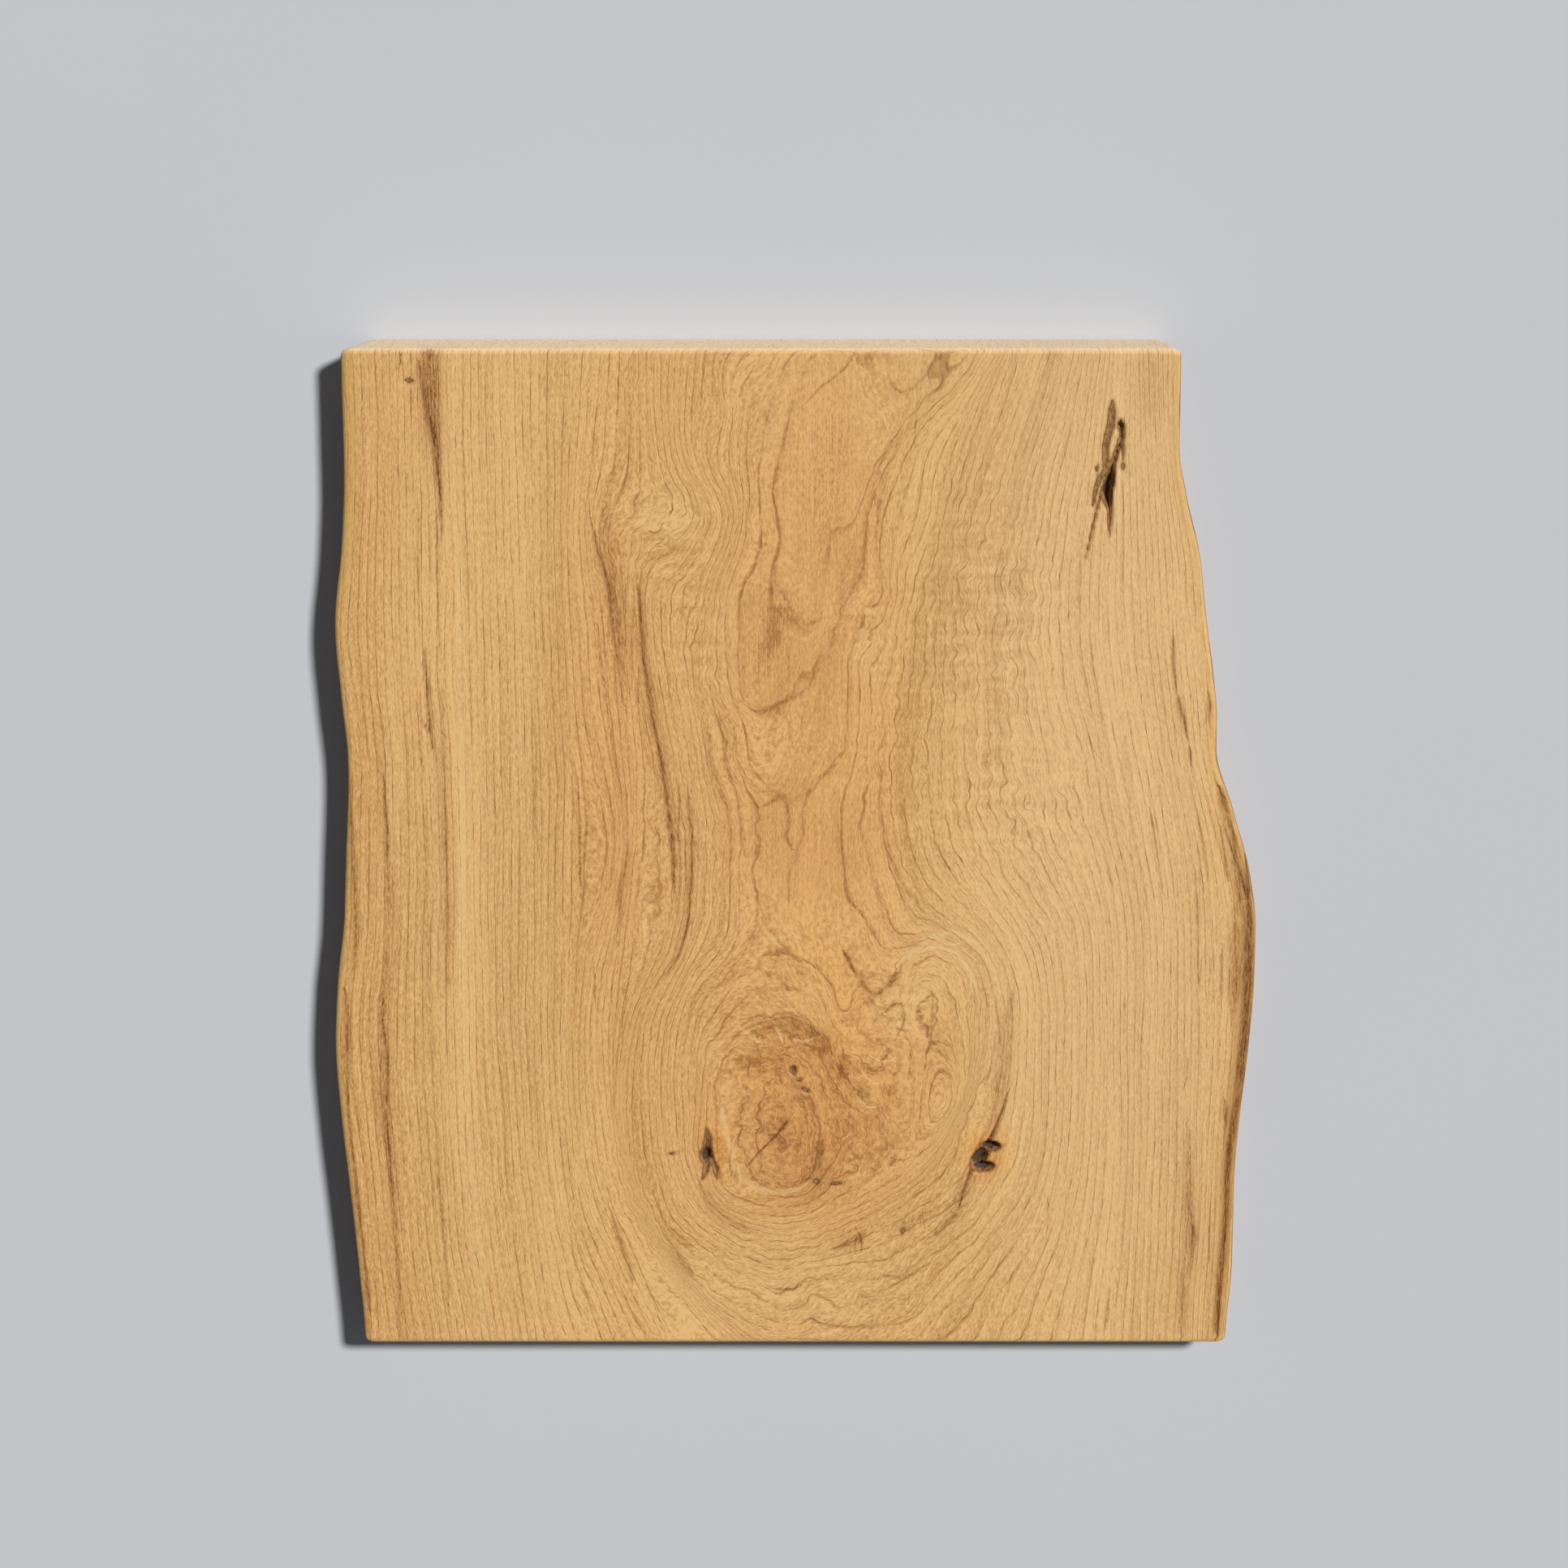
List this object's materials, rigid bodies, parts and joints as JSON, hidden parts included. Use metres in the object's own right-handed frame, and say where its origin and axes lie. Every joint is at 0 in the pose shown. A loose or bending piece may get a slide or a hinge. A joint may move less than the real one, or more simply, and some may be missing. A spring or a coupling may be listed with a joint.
{
  "type": "chestnut slab tabletop",
  "caption": "Through-sawn live-edge slab of sweet chestnut, planed on its face, with a bark crack and open knot pockets, for use as a tabletop.",
  "frame": {"origin": "middle of the underside's bounding box, on the surface that the slab lies on", "axes": "+Z out of the planed face, +Y along the trunk towards the narrower end, +X across the grain"},
  "size_m": [0.8084, 0.9, 0.05],
  "materials": {
    "chestnut": "sanded and oiled, satin"
  },
  "bodies": {
    "root": {"slab": "chestnut"}
  },
  "joints": []
}
